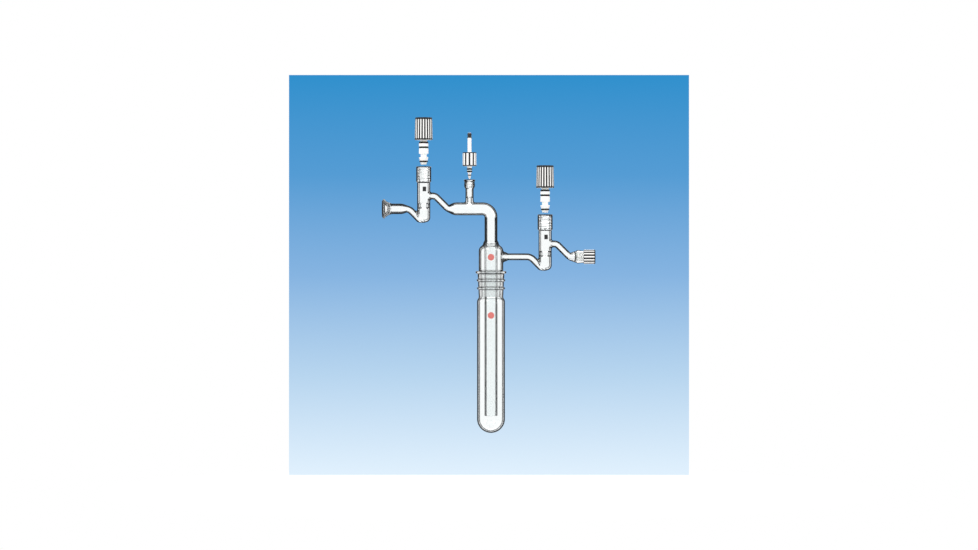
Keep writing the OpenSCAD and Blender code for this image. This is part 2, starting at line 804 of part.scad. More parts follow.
module outlet_oring() {
    color(rubber) at_outlet() translate([-outlet_ring_at, 0, 0]) rotate([0, 90, 0]) ring(outlet_ring_r, outlet_cord_r);
}

module outlet_washer() {
    color(ptfe) at_outlet() translate([-washer_at - washer_t, 0, 0]) difference() {
        rod_x(outlet_shank_r, washer_t);
        translate([-past, 0, 0]) rod_x(bushing_bore_r, washer_t + 2 * past);
    }
}

module outlet_bushing() {
    color(resin) at_outlet() difference() {
        union() {
            translate([-shank_len, 0, 0]) rod_x(outlet_shank_r, shank_len + past);
            translate([seal_gap, 0, 0]) rod_x(bushing_r, bushing_len);
        }
        translate([-shank_len - past, 0, 0]) rod_x(bushing_bore_r, shank_len + bushing_len + 3 * past);
        rotate([0, 90, 0]) grip_grooves(bushing_ribs, bushing_r, bushing_r, bushing_len, 1.6, 1);
    }
}

trap_tube();
joint_head();
dip_tube();
riser_elbow();
crossover_tube();
vent_port();
inlet_arm();
inlet_oring();
left_valve_body();
left_upper_arm();
side_arm();
right_valve_body();
outlet_arm();
left_piston();
left_top_oring();
left_middle_oring();
left_tip_oring();
left_clip();
left_knob();
right_piston();
right_top_oring();
right_middle_oring();
right_tip_oring();
right_clip();
right_knob();
vent_stem();
vent_top_oring();
vent_middle_oring();
vent_tip_oring();
vent_clip();
vent_knob();
outlet_oring();
outlet_washer();
outlet_bushing();
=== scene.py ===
import math

import bpy
import numpy as np
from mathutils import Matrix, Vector


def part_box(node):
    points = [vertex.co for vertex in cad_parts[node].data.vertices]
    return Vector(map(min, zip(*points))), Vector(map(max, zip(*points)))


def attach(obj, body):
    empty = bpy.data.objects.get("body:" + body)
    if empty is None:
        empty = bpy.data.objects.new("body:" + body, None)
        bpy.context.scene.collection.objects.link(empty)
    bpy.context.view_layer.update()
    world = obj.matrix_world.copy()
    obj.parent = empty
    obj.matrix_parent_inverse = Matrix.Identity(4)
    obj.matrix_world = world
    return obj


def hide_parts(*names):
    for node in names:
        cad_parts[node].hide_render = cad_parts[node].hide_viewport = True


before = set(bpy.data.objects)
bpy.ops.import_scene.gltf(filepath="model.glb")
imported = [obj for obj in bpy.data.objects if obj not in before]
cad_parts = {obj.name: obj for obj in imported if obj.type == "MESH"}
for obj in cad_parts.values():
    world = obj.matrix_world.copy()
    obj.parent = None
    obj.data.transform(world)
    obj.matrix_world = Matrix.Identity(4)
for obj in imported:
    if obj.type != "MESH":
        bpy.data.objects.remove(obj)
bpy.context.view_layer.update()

# shapes below are in millimetres on the part's own axes, and become metres as their meshes are made
metres = 0.001


def span(node):
    low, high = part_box(node)
    return np.array(low) / metres, np.array(high) / metres


def axisOf(node):
    low, high = span(node)
    return (low + high)[0] / 2


leftX, rightX, ventX = [axisOf(n) for n in ("left_middle_oring", "right_middle_oring", "vent_middle_oring")]
mouthNodes = ("left_valve_body", "right_valve_body", "vent_port")
leftMouth, rightMouth, ventMouth = [span(n)[1][2] for n in mouthNodes]
leftEdge, rightEdge, ventEdge = [span(n)[0][2] for n in ("left_knob", "right_knob", "vent_knob")]
trapBottom, jointTop = [corner[2] for corner in span("trap_tube")]
dipEnd, domeTop = [corner[2] for corner in span("dip_tube")]
flangeFace = span("inlet_arm")[0][0]
outletMouth = span("outlet_arm")[1][0]


def linear(colour):
    channels = [int(colour[i:i + 2], 16) / 255 for i in (1, 3, 5)]
    return [c / 12.92 if c <= 0.04045 else ((c + 0.055) / 1.055) ** 2.4 for c in channels] + [1]


def addNode(tree, kind, settings=None, links=None, **options):
    made = tree.nodes.new(kind)
    for name, value in options.items():
        setattr(made, name, value)
    for name, value in (settings or {}).items():
        made.inputs[name].default_value = value
    for name, source in (links or {}).items():
        tree.links.new(source, made.inputs[name])
    return made


def newMaterial(name):
    made = bpy.data.materials.new(name)
    made.use_nodes = True
    made.node_tree.nodes.clear()
    return made, made.node_tree


def meshObject(name, points, faces, body):
    mesh = bpy.data.meshes.new(name)
    mesh.from_pydata((np.asarray(points, float) * metres).tolist(), [], faces)
    mesh.update()
    mesh.shade_smooth()
    made = bpy.data.objects.new(name, mesh)
    bpy.context.scene.collection.objects.link(made)
    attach(made, body)
    return made


def arc(centreR, centreZ, radius, start, end, count=8):
    angles = np.radians(np.linspace(start, end, count))
    return [(centreR + radius * math.cos(a), centreZ + radius * math.sin(a)) for a in angles]


def spin(profile, steps, shape=None):
    # turns a profile of (radius, height) points about Z, from axis to axis or closed on itself
    points, rings = [], []
    for row, (radius, height) in enumerate(profile):
        if radius < 1e-6:
            rings.append([len(points)] * steps)
            points.append((0, 0, height))
            continue
        rings.append(list(range(len(points), len(points) + steps)))
        for k in range(steps):
            angle = 2 * math.pi * k / steps
            r = shape(row, angle, radius, height) if shape else radius
            points.append((r * math.cos(angle), r * math.sin(angle), height))
    closed = profile[0][0] > 1e-6 and profile[-1][0] > 1e-6
    faces, rows = [], []
    for row in range(len(profile) - (0 if closed else 1)):
        low, high = rings[row], rings[(row + 1) % len(rings)]
        for k in range(steps):
            n = (k + 1) % steps
            corners = [low[k], low[n], high[n], high[k]]
            face = [c for i, c in enumerate(corners) if c not in corners[:i]]
            if len(face) > 2:
                faces.append(face)
                rows.append(row)
    return np.array(points), faces, rows


def smoothMin(a, b, soft):
    share = np.clip(0.5 + 0.5 * (b - a) / soft, 0, 1)
    return b + (a - b) * share - soft * share * (1 - share)


def smoothMax(a, b, soft):
    return -smoothMin(-a, -b, soft)


def outline(points, corners):
    # signed distance to a closed outline in (radius, height), less than 0 inside
    x, y = points
    nearest, side = np.full(len(x), 1e9), np.ones(len(x))
    for (ax, ay), (bx, by) in zip(corners, corners[1:] + corners[:1]):
        ex, ey, wx, wy = bx - ax, by - ay, x - ax, y - ay
        share = np.clip((wx * ex + wy * ey) / (ex * ex + ey * ey), 0, 1)
        nearest = np.minimum(nearest, (wx - ex * share) ** 2 + (wy - ey * share) ** 2)
        above, below, left = y >= ay, y < by, ex * wy > ey * wx
        side = np.where((above & below & left) | ~(above | below | left), -side, side)
    return side * np.sqrt(nearest)


def upright(x, corners, thread=None):
    # a turned shape about a vertical axis; a thread is (depth, pitch, lowest, highest)
    corners = [(-40 if r == 0 else r, z) for r, z in corners]

    def distance(p):
        radius = np.hypot(p[:, 0] - x, p[:, 1])
        if thread:
            depth, pitch, low, high = thread
            turn = p[:, 2] / pitch - np.arctan2(p[:, 1], p[:, 0] - x) / (2 * math.pi)
            fade = np.clip(np.minimum(p[:, 2] - low, high - p[:, 2]) / 2, 0, 1)
            radius = radius - depth * fade * (0.5 + 0.5 * np.cos(2 * math.pi * turn))
        return outline((radius, p[:, 2]), corners)

    reach = max(r for r, z in corners) + 1.5
    heights = [z for r, z in corners]
    return (np.array([x - reach, -reach, min(heights)]), np.array([x + reach, reach, max(heights)]), distance,
            lambda p: np.tile([0.0, 0, 1], (len(p), 1)))


def level(z, corners):
    # a turned shape about a level axis along X, with corners as (radius, x)
    corners = [(-40 if r == 0 else r, x) for r, x in corners]
    reach = max(r for r, x in corners)
    places = [x for r, x in corners]
    return (np.array([min(places), -reach, z - reach]), np.array([max(places), reach, z + reach]),
            lambda p: outline((np.hypot(p[:, 1], p[:, 2] - z), p[:, 0]), corners),
            lambda p: np.tile([1.0, 0, 0], (len(p), 1)))


def bent(corners, bends, radius):
    # a rod along a path in the XZ plane; radius is a function of (x, z) along the path
    corners = [np.array(c, float) for c in corners]
    path = [corners[0]]
    for i, r in enumerate(bends, 1):
        before, after = corners[i - 1] - corners[i], corners[i + 1] - corners[i]
        before, after = before / np.linalg.norm(before), after / np.linalg.norm(after)
        half = math.acos(np.clip(before @ after, -1, 1)) / 2
        centre = corners[i] + (before + after) / np.linalg.norm(before + after) * r / math.sin(half)
        first, last = corners[i] + before * r / math.tan(half), corners[i] + after * r / math.tan(half)
        count = max(3, int(math.degrees(math.pi - 2 * half) / 6) + 1)
        for t in np.linspace(0, 1, count):
            a, b = first - centre, last - centre
            turn = math.pi - 2 * half
            path.append(centre + (a * math.sin((1 - t) * turn) + b * math.sin(t * turn)) / math.sin(turn))
    path.append(corners[-1])
    fine = []
    for a, b in zip(path, path[1:]):
        count = max(1, int(np.linalg.norm(b - a) / 8))
        for c, d in [(a + (b - a) * i / count, a + (b - a) * (i + 1) / count) for i in range(count)]:
            steps = 5 if abs(radius(*c) - radius(*d)) > 0.01 else 1
            fine += [c + (d - c) * t for t in np.linspace(0, 1, steps, endpoint=False)]
    fine.append(path[-1])
    radii = [radius(x, z) for x, z in fine]

    def nearest(p):
        best, along = np.full(len(p), 1e9), np.zeros((len(p), 3))
        for a, b, ra, rb in zip(fine, fine[1:], radii, radii[1:]):
            e = b - a
            w = p[:, [0, 2]] - a
            share = np.clip((w @ e) / (e @ e), 0, 1)
            away = w - share[:, None] * e
            found = np.sqrt((away ** 2).sum(1) + p[:, 1] ** 2) - (ra + (rb - ra) * share)
            along[found < best] = np.array([e[0], 0, e[1]]) / np.linalg.norm(e)
            best = np.minimum(best, found)
        return best, along

    reach = max(radii)
    spread = np.array(fine)
    return (np.array([spread[:, 0].min() - reach, -reach, spread[:, 1].min() - reach]),
            np.array([spread[:, 0].max() + reach, reach, spread[:, 1].max() + reach]),
            lambda p: nearest(p)[0], lambda p: nearest(p)[1])


def joined(points, shapes, soft):
    total = np.full(len(points), 20.0)
    for low, high, distance, along in shapes:
        near = ((points > low - 10) & (points < high + 10)).all(1)
        if near.any():
            total[near] = smoothMin(total[near], distance(points[near]), soft)
    return total


def ease(value, start, end, first, last):
    share = min(max((value - start) / (end - start), 0), 1)
    return first + (last - first) * share * share * (3 - 2 * share)


# sizes of the glass that is blown and drawn in one skin
glass = {
    "valve": {"collarR": 14.25, "collar": 29, "barrelR": 12.5, "boreR": 9.4, "upperArm": 56, "line": 80.5,
              "seatTop": 69.3, "seatEdge": 71.96, "seatR": 6.75, "seatLength": 6, "foot": 106, "footR": 9,
              "wall": 3.1, "armR": 6.5, "armBoreR": 4.7, "threadDepth": 1.2, "threadPitch": 5,
              "stub": 4.8, "upperBend": 11, "lowerCorner": 27.9, "lowerBend": 17},
    "tube": {"r": 12.25, "boreR": 10.05, "elbowR": 15.8},
    "head": {"footZ": 27.8, "footR": 19.965, "r": 23.25, "wall": 2.5, "jointWall": 2.4, "domeFoot": 115.8},
    "vent": {"bellR": 10.5, "neckR": 7.75, "boreR": 5.7, "seatR": 3.2, "seatTop": 32.9, "seatEdge": 35.4,
             "threadDepth": 0.9, "threadPitch": 3},
    "inlet": {"r": 10, "boreR": 7.5, "neck": 7.4, "flangeR": 18.25, "rim": 3.6, "cone": 10, "coneR": 16.05},
    "outlet": {"r": 11.8, "socketR": 8.8, "socket": 16.1},
    "line": 1.9, "flangeLineR": 60, "outletLineR": 30,
    "filletOutside": 4, "filletInside": 2.5, "rimSoftness": 1, "grid": 1.0,
}
valve, tube, head = glass["valve"], glass["tube"], glass["head"]
vent, inlet, outlet = glass["vent"], glass["inlet"], glass["outlet"]
crossZ = leftMouth - valve["line"]
corner = valve["upperBend"] * math.tan(math.radians(22.5))
stub = valve["barrelR"] + valve["stub"] + corner
drop = valve["line"] - valve["upperArm"]
upperReach = stub + drop + corner
lowerReach = valve["lowerCorner"] + valve["lowerBend"] * math.tan(math.radians(22.5))


def valveShapes(x, mouth):
    v = valve
    bottom = mouth - v["foot"]
    body = [(0, bottom)] + arc(v["barrelR"] - v["footR"], bottom + v["footR"], v["footR"], -90, 0)
    body += [(v["barrelR"], mouth - v["collar"] - 0.8), (v["collarR"], mouth - v["collar"]),
             (v["collarR"], mouth),
             (0, mouth)]
    low, small = bottom + v["wall"], v["footR"] - v["wall"]
    chamber = [(0, low)] + arc(v["boreR"] - small, low + small, small, -90, 0)
    chamber += [(v["boreR"], mouth - v["seatEdge"] - v["seatLength"] - 2),
                (v["seatR"], mouth - v["seatEdge"] - v["seatLength"]), (v["seatR"], mouth - v["seatEdge"]),
                (v["boreR"], mouth - v["seatTop"]), (v["boreR"], mouth + 5), (0, mouth + 5)]
    thread = (v["threadDepth"], v["threadPitch"], mouth - 27, mouth - 2)
    return upright(x, body), upright(x, chamber, thread)


def lowerArm(x, mouth, radius, lineEnd):
    # the arm comes along the line, bends down and ends inside the barrel, cut level with the barrel's foot
    line, foot = mouth - valve["line"], mouth - valve["foot"]
    turn, inside = valve["lowerCorner"], 5
    corners = [(lineEnd, line), (x - turn, line), (x - inside, line - turn + inside)]
    low, high, rod, along = bent(corners, [valve["lowerBend"]], radius)
    return low, high, lambda p: smoothMax(rod(p), foot - p[:, 2], 2), along


def upperArm(x, mouth, radius, beyond):
    top, line = mouth - valve["upperArm"], mouth - valve["line"]
    return bent([(x + 4, top), (x + stub, top), (x + stub + drop, line)] + beyond, [valve["upperBend"]] * 2 +
                [tube["elbowR"]] * (len(beyond) - 1), radius)


def gasPath(x, narrow, wide):
    # radius along the inlet valve's upper arm and the crossover tube
    return ease(x, leftX + upperReach - 6, leftX + upperReach + 12, narrow, wide)


def shoulder(x, z):
    # the riser spreads a little where it meets the dome
    return ease(z, domeTop, domeTop + 6, 2.5, 0) if x > -1 else 0


def inletPath(x, narrow, wide):
    return ease(x, leftX - lowerReach - inlet["neck"] - 2, leftX - lowerReach + 5, wide, narrow)


def outletPath(x, narrow, wide):
    return ease(x, rightX + upperReach - 8, rightX + upperReach + 14, narrow, wide)


leftOuter, leftHollow = valveShapes(leftX, leftMouth)
rightOuter, rightHollow = valveShapes(rightX, rightMouth)
over = jointTop + 0.3
headOutline = [(0, head["footZ"]), (head["footR"], head["footZ"]), (22.45, jointTop), (22.45, over),
               (head["r"], over + 0.3)] + arc(tube["r"], head["domeFoot"], head["r"] - tube["r"], 0, 90)
headOutline += [(0, domeTop)]
innerR = head["r"] - head["wall"]
headHollow = [(0, head["footZ"] - 8), (head["footR"] - head["jointWall"], head["footZ"] - 8),
              (head["footR"] - head["jointWall"], head["footZ"]), (22.45 - head["jointWall"], jointTop),
              (innerR, over + 2)] + arc(tube["r"], head["domeFoot"], innerR - tube["r"], 0, 90)
headHollow += [(0, domeTop - head["wall"])]
dip = upright(0, [(0, dipEnd), (tube["r"], dipEnd), (tube["r"], domeTop + 4), (0, domeTop + 4)])
chamberLow, chamberHigh, chamberDistance, chamberAlong = upright(0, headHollow)
bell = [(0, crossZ), (vent["neckR"], crossZ), (vent["neckR"], ventMouth - 18.5), (8.6, ventMouth - 16.6),
        (9.9, ventMouth - 13.5), (10.2, ventMouth - 9.5), (9.7, ventMouth - 6), (9.6, ventMouth - 4.6),
        (vent["bellR"], ventMouth - 3.4), (vent["bellR"], ventMouth), (0, ventMouth)]
ventHollow = [(0, crossZ), (vent["seatR"], crossZ), (vent["seatR"], ventMouth - vent["seatEdge"]),
              (vent["boreR"], ventMouth - vent["seatTop"]), (vent["boreR"], ventMouth + 5),
              (0, ventMouth + 5)]
flange = [(0, flangeFace), (inlet["flangeR"], flangeFace), (inlet["flangeR"], flangeFace + inlet["rim"]),
          (inlet["coneR"], flangeFace + inlet["rim"] + 0.6),
          (inlet["r"], flangeFace + inlet["rim"] + inlet["cone"]),
          (0, flangeFace + inlet["rim"] + inlet["cone"])]
tubeEnd = outletMouth - 12
spoutEnd = [(0, tubeEnd), (outlet["r"], tubeEnd), (outlet["r"], outletMouth), (0, outletMouth)]
socket = [(0, outletMouth - outlet["socket"]), (outlet["socketR"], outletMouth - outlet["socket"]),
          (outlet["socketR"], outletMouth + 5), (0, outletMouth + 5)]
lineLeft, lineRight = leftMouth - valve["line"], rightMouth - valve["line"]
coneEnd = flangeFace + inlet["rim"] + inlet["cone"]

outerShapes = [
    upright(0, headOutline), dip, leftOuter, rightOuter, upright(ventX, bell), level(lineLeft, flange),
    level(lineRight, spoutEnd),
    upperArm(leftX, leftMouth, lambda x, z: gasPath(x, valve["armR"], tube["r"]) + shoulder(x, z),
             [(0, crossZ), (0, domeTop - 4)]),
    upperArm(rightX, rightMouth, lambda x, z: outletPath(x, valve["armR"], outlet["r"]),
             [(tubeEnd, lineRight)]),
    lowerArm(leftX, leftMouth, lambda x, z: inletPath(x, valve["armR"], inlet["r"]), coneEnd),
    lowerArm(rightX, rightMouth, lambda x, z: ease(x, head["r"], head["r"] + 9, 9.5, valve["armR"]), 18),
]
hollowShapes = [
    leftHollow, rightHollow, upright(ventX, ventHollow, (vent["threadDepth"], vent["threadPitch"],
                                                         ventMouth - 13, ventMouth - 1.5)),
    upright(0, [(0, dipEnd - 5), (tube["boreR"], dipEnd - 5), (tube["boreR"], domeTop + 4),
                (0, domeTop + 4)]),
    level(lineLeft, [(0, flangeFace - 5), (inlet["boreR"], flangeFace - 5), (inlet["boreR"], coneEnd),
                     (0, coneEnd)]),
    level(lineRight, socket),
    upperArm(leftX, leftMouth, lambda x, z: gasPath(x, valve["armBoreR"], tube["boreR"]),
             [(0, crossZ), (0, domeTop)]),
    upperArm(rightX, rightMouth, lambda x, z: valve["armBoreR"], [(outletMouth - 8, lineRight)]),
    lowerArm(leftX, leftMouth, lambda x, z: inletPath(x, valve["armBoreR"], inlet["boreR"]), coneEnd - 4),
    lowerArm(rightX, rightMouth, lambda x, z: valve["armBoreR"], 18),
    (chamberLow, chamberHigh, lambda p: smoothMax(chamberDistance(p), -dip[2](p), 1.5), chamberAlong),
]


def glassDistance(points):
    outside = joined(points, outerShapes, glass["filletOutside"])
    hollow = joined(points, hollowShapes, glass["filletInside"])
    grooveX, grooveR = flangeFace - 0.15, 14.7
    groove = np.hypot(np.hypot(points[:, 1], points[:, 2] - lineLeft) - grooveR, points[:, 0] - grooveX) - 1.8
    return smoothMax(smoothMax(outside, -hollow, glass["rimSoftness"]), -groove, 0.4)


def slopes(distance, points, step=0.05):
    found = np.empty_like(points)
    for axis in range(3):
        shift = np.zeros(3)
        shift[axis] = step
        found[:, axis] = (distance(points + shift) - distance(points - shift)) / (2 * step)
    return found


def skin(distance, low, high, grid):
    # quads through the cells that the surface crosses, moved onto it along its own slope
    coarse = grid * 8
    counts = np.ceil((high - low) / coarse).astype(int)
    cells = np.stack(np.meshgrid(*[np.arange(n) for n in counts], indexing="ij"), -1).reshape(-1, 3)
    size = coarse
    for finer in (4, 2):
        centres = low + (cells + 0.5) * size
        cells = cells[np.abs(distance(centres)) < size * 1.2]
        inner = np.stack(np.meshgrid(*[np.arange(finer)] * 3, indexing="ij"), -1).reshape(-1, 3)
        cells = (cells[:, None] * finer + inner).reshape(-1, 3)
        size /= finer
    centres = low + (cells + 0.5) * size
    cells = cells[np.abs(distance(centres)) < size * 1.2]
    across = counts * 8 + 4
    stride = np.array([across[1] * across[2], across[2], 1])
    offsets = np.stack(np.meshgrid(*[np.arange(2)] * 3, indexing="ij"), -1).reshape(-1, 3)
    cells = cells + 1
    keys = cells @ stride
    corners = (cells[:, None] + offsets)
    cornerKeys, where = np.unique((corners @ stride).ravel(), return_inverse=True)
    places = np.stack([cornerKeys // stride[0], cornerKeys // stride[1] % across[1], cornerKeys % across[2]],
                      -1)
    values = distance(low + (places - 1) * size)
    inCell = values[where.reshape(-1, 8)]
    crossed = (inCell.min(1) < 0) & (inCell.max(1) >= 0)
    cells, keys, inCell = cells[crossed], keys[crossed], inCell[crossed]
    total, count = np.zeros((len(cells), 3)), np.zeros(len(cells))
    for a in range(8):
        for b in range(a + 1, 8):
            if np.abs(offsets[a] - offsets[b]).sum() != 1:
                continue
            va, vb = inCell[:, a], inCell[:, b]
            cut = (va < 0) != (vb < 0)
            share = np.where(cut, va / np.where(cut, va - vb, 1), 0)
            total += cut[:, None] * (offsets[a] + (offsets[b] - offsets[a]) * share[:, None])
            count += cut
    points = low + (cells - 1 + total / count[:, None]) * size
    for turn in range(3):
        slope = slopes(distance, points)
        move = (distance(points) / (slope ** 2).sum(1).clip(0.2))[:, None] * slope
        points -= np.clip(move, -0.5 * size, 0.5 * size)
    order = np.argsort(keys)
    sortedKeys = keys[order]
    quads = []
    for axis in range(3):
        one, two = [a for a in range(3) if a != axis]
        along = 4 >> axis
        cut = (inCell[:, 0] < 0) != (inCell[:, along] < 0)
        base = keys[cut]
        around = np.stack([base, base - stride[one], base - stride[one] - stride[two], base - stride[two]],
                          -1)
        found = order[np.searchsorted(sortedKeys, around).clip(0, len(keys) - 1)]
        whole = (keys[found] == around).all(1)
        flip = (inCell[cut, 0] < 0) != (axis == 1)
        found[flip] = found[flip][:, ::-1]
        quads.append(found[whole][:, ::-1])
    return points, np.concatenate(quads)


def paintedOutlineStart(radii):
    # how far a wall turns from the eye where its painted dark outline starts, so that every tube's line is as
    # wide
    width = glass["line"] * np.interp(radii, [6, 25], [1, 1.4])
    inside = 1 - width / np.maximum(radii, width * 2)
    return 1 - np.sqrt(1 - inside ** 2)


def keepPaintedOutlines(thing, radii, axes):
    # what the glass needs to paint its dark outlines: where they start and which way each tube runs
    mesh = thing.data
    starts = mesh.attributes.new("paintedOutlineStart", "FLOAT", "POINT")
    starts.data.foreach_set("value", paintedOutlineStart(radii).astype(np.float32))
    ways = mesh.attributes.new("tubeAxis", "FLOAT_VECTOR", "POINT")
    ways.data.foreach_set("vector", axes.ravel().astype(np.float32))


def nearestTube(points, shapes):
    # radius and direction of the tube that each point lies on, from (shape, radius) pairs
    best, found = np.full(len(points), 1e9), np.full(len(points), 10.0)
    axes = np.tile([0.0, 0, 1], (len(points), 1))
    for (low, high, distance, along), radius in shapes:
        near = np.flatnonzero(((points > low - 3) & (points < high + 3)).all(1))
        away = distance(points[near])
        closer = away < best[near]
        best[near[closer]], found[near[closer]] = away[closer], radius
        axes[near[closer]] = along(points[near[closer]])
    return found, axes


def skinObject(name, distance, low, high, grid, body):
    points, quads = skin(distance, low, high, grid)
    normals = slopes(distance, points)
    normals /= np.linalg.norm(normals, axis=1)[:, None]
    mesh = bpy.data.meshes.new(name)
    mesh.vertices.add(len(points))
    mesh.vertices.foreach_set("co", (points * metres).ravel())
    mesh.loops.add(quads.size)
    mesh.loops.foreach_set("vertex_index", quads.ravel().astype(np.int32))
    mesh.polygons.add(len(quads))
    mesh.polygons.foreach_set("loop_start", np.arange(0, quads.size, 4, dtype=np.int32))
    mesh.update()
    mesh.validate()
    mesh.shade_smooth()
    mesh.normals_split_custom_set_from_vertices(normals.tolist())
    made = bpy.data.objects.new(name, mesh)
    bpy.context.scene.collection.objects.link(made)
    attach(made, body)
    return made, points


headNodes = ["joint_head", "dip_tube", "riser_elbow", "crossover_tube", "vent_port", "inlet_arm",
             "left_valve_body", "left_upper_arm", "side_arm", "right_valve_body", "outlet_arm"]
grid = glass["grid"]
lowest = np.array([flangeFace - 4, -27, dipEnd - 4])
highest = np.array([outletMouth + 4, 27, leftMouth + 4])
trapHead, points = skinObject("trapHeadGlass", glassDistance, lowest, highest, grid, "head")
tubeRadii = [head["r"], tube["r"], valve["barrelR"], valve["barrelR"], vent["neckR"], inlet["coneR"],
             outlet["r"]] + [valve["armR"]] * 4
radii, axes = nearestTube(points, list(zip(outerShapes, tubeRadii)))
# the crossover and riser are drawn as the wide tube they are, and both tube ends get a finer line
crossover = (radii == valve["armR"]) & (points[:, 0] > leftX + upperReach + 6) & (points[:, 0] < tube["r"])
radii[crossover & (points[:, 2] > max(crossZ - 16, domeTop))] = tube["r"]
radii[points[:, 0] < coneEnd] = glass["flangeLineR"]
neckStart, neckEnd = rightX + upperReach - 8, rightX + upperReach + 14
neck = (points[:, 0] > neckStart) & (points[:, 2] < lineRight + 14)
radii[neck] = np.interp(points[neck, 0], [neckStart, neckEnd], [valve["armR"], glass["outletLineR"]])
keepPaintedOutlines(trapHead, radii, axes)
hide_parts(*headNodes)
print("glass head:", len(trapHead.data.polygons), "faces")


trap = {"r": 26.5, "wall": 3, "shoulder": 21, "jointFoot": 27.5, "footR": 20, "mouthR": 22.5,
        "jointWall": 3.2, "rimR": 29.1, "rim": 5, "beads": [(27.1, 15.2), (26.6, 30.4)], "beadHeight": 5,
        "steps": 144}
roundZ = trapBottom + trap["r"]
outsideFoot = trap["footR"] + trap["jointWall"]


def jointR(z):
    return trap["footR"] + (z - trap["jointFoot"]) / 20


def beadRows(r, z):
    # a melted-on bead, half round in section
    rows = []
    for t in (-1.25, -1, -0.97, -0.85, -0.7, -0.35, 0, 0.35, 0.7, 0.85, 0.97, 1, 1.25):
        height = z + t * trap["beadHeight"] / 2
        low = jointR(height) + trap["jointWall"]
        rows.append((low + (r - low) * math.sqrt(max(0, 1 - t * t)), height))
    return rows


trapRows = arc(0, roundZ, trap["r"], -90, 0, 24) + [(trap["r"], 0)]
trapRows += [(ease(z, trap["shoulder"] - 1, trap["jointFoot"] + 1, trap["r"], outsideFoot), z)
             for z in np.linspace(trap["shoulder"] - 1, trap["jointFoot"] + 1, 13)]
for r, below in reversed(trap["beads"]):
    trapRows += beadRows(r, jointTop - trap["rim"] / 2 - below)
rimFoot, rimCentre, rimRound, mouthRound = jointTop - trap["rim"], trap["rimR"] - 1.6, 1.6, 0.5
trapRows += [(25.4, rimFoot - 1), (25.6, rimFoot)] + arc(rimCentre, rimFoot + rimRound, rimRound, -90, 0, 5)
trapRows += arc(rimCentre, jointTop - rimRound, rimRound, 0, 90, 5)
trapRows += arc(trap["mouthR"] + mouthRound, jointTop - mouthRound, mouthRound, 90, 180, 3)
groundFirst = len(trapRows)
trapRows += [(jointR(z), z) for z in np.linspace(jointTop - 2, trap["jointFoot"] + 1, 12)]
groundLast = len(trapRows) - 1
innerR = trap["r"] - trap["wall"]
trapRows += [(ease(z, trap["shoulder"] - 1, trap["jointFoot"] + 0.5, innerR, trap["footR"]), z)
             for z in np.linspace(trap["jointFoot"] + 0.5, trap["shoulder"] - 1, 8)]
trapRows += [(innerR, 0)] + arc(0, roundZ, innerR, 0, -90, 24)
trapRows[0], trapRows[-1] = (0, trapBottom), (0, trapBottom + trap["wall"])
points, faces, rows = spin(trapRows, trap["steps"])
trapTube = meshObject("trapTubeGlass", points, faces, "trap")
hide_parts("trap_tube")
keepPaintedOutlines(trapTube, np.full(len(points), trap["r"]), np.tile([0.0, 0, 1], (len(points), 1)))
for face, row in zip(trapTube.data.polygons, rows):
    face.material_index = 1 if groundFirst <= row < groundLast else 0
print("trap tube:", len(faces), "faces")


def ribbed(name, rows, outerRows, paintedShadeRows, ribs, depth, share, front, body, threads, place, lying=False):
    # rows run from the bore round the skirt to the top; the outer ones carry grooves between the ribs, which
    # with the rows in paintedShadeRows are painted black as shade, and threads are (depth, pitch, lowest,
    # highest, radius)
    perRib = 14
    steps = ribs * perRib

    def groove(angle):
        turn = ((angle - front) * ribs / (2 * math.pi) + 0.5) % 1 - 0.5
        return min(max((abs(turn) - share / 2) * perRib / 1.2, 0), 1)

    def shape(row, angle, radius, height):
        if row in outerRows:
            return radius - depth * groove(angle)
        if threads and threads[2] < height < threads[3] and abs(radius - threads[4]) < 0.2:
            turn = height / threads[1] - angle / (2 * math.pi)
            return radius - threads[0] * (0.5 + 0.5 * math.cos(2 * math.pi * turn))
        return radius

    points, faces, which = spin(rows, steps, shape)
    middles = np.array([points[f].mean(0) for f in faces])
    if lying:
        points = points[:, [2, 1, 0]] * np.array([1, 1, -1])
    made = meshObject(name, points + np.array(place), faces, body)
    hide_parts(body)
    for face, row, centre in zip(made.data.polygons, which, middles):
        angle = math.atan2(centre[1], centre[0])
        paintedGrooveShade = row in outerRows and row + 1 in outerRows and groove(angle) > 0.05
        # painted shade: grooves and the listed end rows take the second, black finish
        face.material_index = 1 if paintedGrooveShade or row in paintedShadeRows else 0
        face.use_smooth = not (row in outerRows)
    return made


knob = {"r": 17, "topR": 16, "height": 42.5, "ribs": 20, "grooveDepth": 1.3, "ribShare": 0.46, "skirtR": 14.6,
        "skirt": 29.1, "shankR": 9.1, "boreR": 4.55, "bore": 33.4, "clipR": 6.3, "threadDepth": 0.9,
        "pitch": 5}


def knobRows(k):
    shank = [(k["shankR"], z) for z in np.linspace(0.4, k["skirt"], 60)]
    rows = [(0, k["bore"]), (k["boreR"], k["bore"]), (k["boreR"], k["skirt"] + 0.3),
            (k["clipR"], k["skirt"] + 0.3), (k["clipR"], k["skirt"] - 1.8), (k["boreR"], k["skirt"] - 1.8),
            (k["boreR"], 0.3),
            (k["boreR"] + 0.3, 0), (k["shankR"] - 0.4, 0)] + shank
    rows += [(k["skirtR"], k["skirt"]), (k["skirtR"], 0.3), (k["skirtR"] + 0.3, 0)]
    first = len(rows)
    rows += [(k["r"] - 0.4, 0), (k["r"], 0.4)]
    draft, rise = k["topR"] - k["r"], k["height"] - 1.2
    rows += [(k["r"] + draft * t, 0.4 + rise * t) for t in (0.055, 0.5, 0.93, 1)]
    rows += [(k["topR"] - 0.25, k["height"] - 0.25), (k["topR"] - 0.8, k["height"])]
    last = len(rows)
    rows += [(k["topR"] - 2.6, k["height"]), (0, k["height"])]
    return rows, range(first, last)


